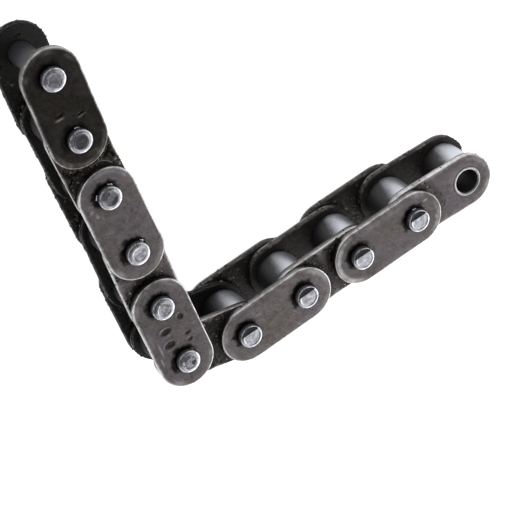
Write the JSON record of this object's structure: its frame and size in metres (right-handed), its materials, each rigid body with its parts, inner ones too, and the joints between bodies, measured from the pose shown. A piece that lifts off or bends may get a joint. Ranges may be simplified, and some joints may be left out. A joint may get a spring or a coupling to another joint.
{
  "type": "roller chain",
  "caption": "Length of half-inch roller chain with straight-sided plates, bent at a corner, one end an open inner link and the other an outer link; every pin joint turns and every roller spins.",
  "frame": {"origin": "on the axis of the corner pin, pin_06, in the plane of the ten lower pin ends that the chain lies on", "axes": "+Z along the pins, up from the floor; +X along the arm that ends in the open inner link; +Y along the other arm"},
  "size_m": [0.0737, 0.0785, 0.017],
  "materials": {
    "outer_plate": "satin dark brown-grey steel with bright worn rims",
    "inner_plate": "satin dark brown-grey steel, greasy",
    "pin": "bright riveted ends",
    "bush": "worn bright at the ends",
    "roller": "smooth oily bluish steel",
    "grime": "dark dried grease with grit"
  },
  "bodies": {
    "inner_link_1": {"inner_1_upper_plate": "inner_plate", "inner_1_lower_plate": "inner_plate", "bush_01": "bush", "bush_02": "bush"},
    "outer_link_1": {"outer_1_upper_plate": "outer_plate", "outer_1_lower_plate": "outer_plate", "pin_02": "pin", "pin_03": "pin"},
    "inner_link_2": {"inner_2_upper_plate": "inner_plate", "inner_2_lower_plate": "inner_plate", "bush_03": "bush", "bush_04": "bush"},
    "outer_link_2": {"outer_2_upper_plate": "outer_plate", "outer_2_lower_plate": "outer_plate", "pin_04": "pin", "pin_05": "pin"},
    "inner_link_3": {"inner_3_upper_plate": "inner_plate", "inner_3_lower_plate": "inner_plate", "bush_05": "bush", "bush_06": "bush"},
    "outer_link_3": {"outer_3_upper_plate": "outer_plate", "outer_3_lower_plate": "outer_plate", "pin_06": "pin", "pin_07": "pin"},
    "inner_link_4": {"inner_4_upper_plate": "inner_plate", "inner_4_lower_plate": "inner_plate", "bush_07": "bush", "bush_08": "bush"},
    "outer_link_4": {"outer_4_upper_plate": "outer_plate", "outer_4_lower_plate": "outer_plate", "pin_08": "pin", "pin_09": "pin"},
    "inner_link_5": {"inner_5_upper_plate": "inner_plate", "inner_5_lower_plate": "inner_plate", "bush_09": "bush", "bush_10": "bush"},
    "outer_link_5": {"outer_5_upper_plate": "outer_plate", "outer_5_lower_plate": "outer_plate", "pin_10": "pin", "pin_11": "pin"},
    "roller_body_01": {"roller_01": "roller"},
    "roller_body_02": {"roller_02": "roller"},
    "roller_body_03": {"roller_03": "roller"},
    "roller_body_04": {"roller_04": "roller"},
    "roller_body_05": {"roller_05": "roller"},
    "roller_body_06": {"roller_06": "roller"},
    "roller_body_07": {"roller_07": "roller"},
    "roller_body_08": {"roller_08": "roller"},
    "roller_body_09": {"roller_09": "roller"},
    "roller_body_10": {"roller_10": "roller"}
  },
  "joints": [
    {"name": "link_turn_02", "type": "hinge", "parent": "outer_link_1", "child": "inner_link_1", "pos_m": [0.05037, -0.00346, 0.0085], "axis": [0, 0, -1], "range_deg": [-118.1, 111.9]},
    {"name": "link_turn_03", "type": "hinge", "parent": "inner_link_2", "child": "outer_link_1", "pos_m": [0.03767, -0.00333, 0.0085], "axis": [0, 0, 1], "range_deg": [-114.6, 115.4]},
    {"name": "link_turn_04", "type": "hinge", "parent": "outer_link_2", "child": "inner_link_2", "pos_m": [0.02497, -0.00329, 0.0085], "axis": [0, 0, -1], "range_deg": [-112.2, 114.8]},
    {"name": "link_turn_05", "type": "hinge", "parent": "inner_link_3", "child": "outer_link_2", "pos_m": [0.01227, -0.00329, 0.0085], "axis": [0, 0, 1], "range_deg": [-130, 88]},
    {"name": "link_turn_06", "type": "hinge", "parent": "outer_link_3", "child": "inner_link_3", "pos_m": [0, 0, 0.0085], "axis": [0, 0, -1], "range_deg": [-39.2, 190.8]},
    {"name": "link_turn_07", "type": "hinge", "parent": "outer_link_3", "child": "inner_link_4", "pos_m": [0.00018, 0.0127, 0.0085], "axis": [0, 0, -1], "range_deg": [-116.7, 93.3]},
    {"name": "link_turn_08", "type": "hinge", "parent": "inner_link_4", "child": "outer_link_4", "pos_m": [0.00073, 0.02539, 0.0085], "axis": [0, 0, 1], "range_deg": [-114.3, 112.7]},
    {"name": "link_turn_09", "type": "hinge", "parent": "outer_link_4", "child": "inner_link_5", "pos_m": [0.00078, 0.03809, 0.0085], "axis": [0, 0, -1], "range_deg": [-114.5, 115.5]},
    {"name": "link_turn_10", "type": "hinge", "parent": "inner_link_5", "child": "outer_link_5", "pos_m": [0.00071, 0.05079, 0.0085], "axis": [0, 0, 1], "range_deg": [-111.7, 118.3]},
    {"name": "roller_spin_01", "type": "hinge", "parent": "inner_link_1", "child": "roller_body_01", "pos_m": [0.06304, -0.00428, 0.0085], "axis": [0, 0, 1], "continuous": true},
    {"name": "roller_spin_02", "type": "hinge", "parent": "inner_link_1", "child": "roller_body_02", "pos_m": [0.05037, -0.00346, 0.0085], "axis": [0, 0, 1], "continuous": true},
    {"name": "roller_spin_03", "type": "hinge", "parent": "inner_link_2", "child": "roller_body_03", "pos_m": [0.03767, -0.00333, 0.0085], "axis": [0, 0, 1], "continuous": true},
    {"name": "roller_spin_04", "type": "hinge", "parent": "inner_link_2", "child": "roller_body_04", "pos_m": [0.02497, -0.00329, 0.0085], "axis": [0, 0, 1], "continuous": true},
    {"name": "roller_spin_05", "type": "hinge", "parent": "inner_link_3", "child": "roller_body_05", "pos_m": [0.01227, -0.00329, 0.0085], "axis": [0, 0, 1], "continuous": true},
    {"name": "roller_spin_06", "type": "hinge", "parent": "inner_link_3", "child": "roller_body_06", "pos_m": [0, 0, 0.0085], "axis": [0, 0, 1], "continuous": true},
    {"name": "roller_spin_07", "type": "hinge", "parent": "inner_link_4", "child": "roller_body_07", "pos_m": [0.00018, 0.0127, 0.0085], "axis": [0, 0, 1], "continuous": true},
    {"name": "roller_spin_08", "type": "hinge", "parent": "inner_link_4", "child": "roller_body_08", "pos_m": [0.00073, 0.02539, 0.0085], "axis": [0, 0, 1], "continuous": true},
    {"name": "roller_spin_09", "type": "hinge", "parent": "inner_link_5", "child": "roller_body_09", "pos_m": [0.00078, 0.03809, 0.0085], "axis": [0, 0, 1], "continuous": true},
    {"name": "roller_spin_10", "type": "hinge", "parent": "inner_link_5", "child": "roller_body_10", "pos_m": [0.00071, 0.05079, 0.0085], "axis": [0, 0, 1], "continuous": true}
  ]
}
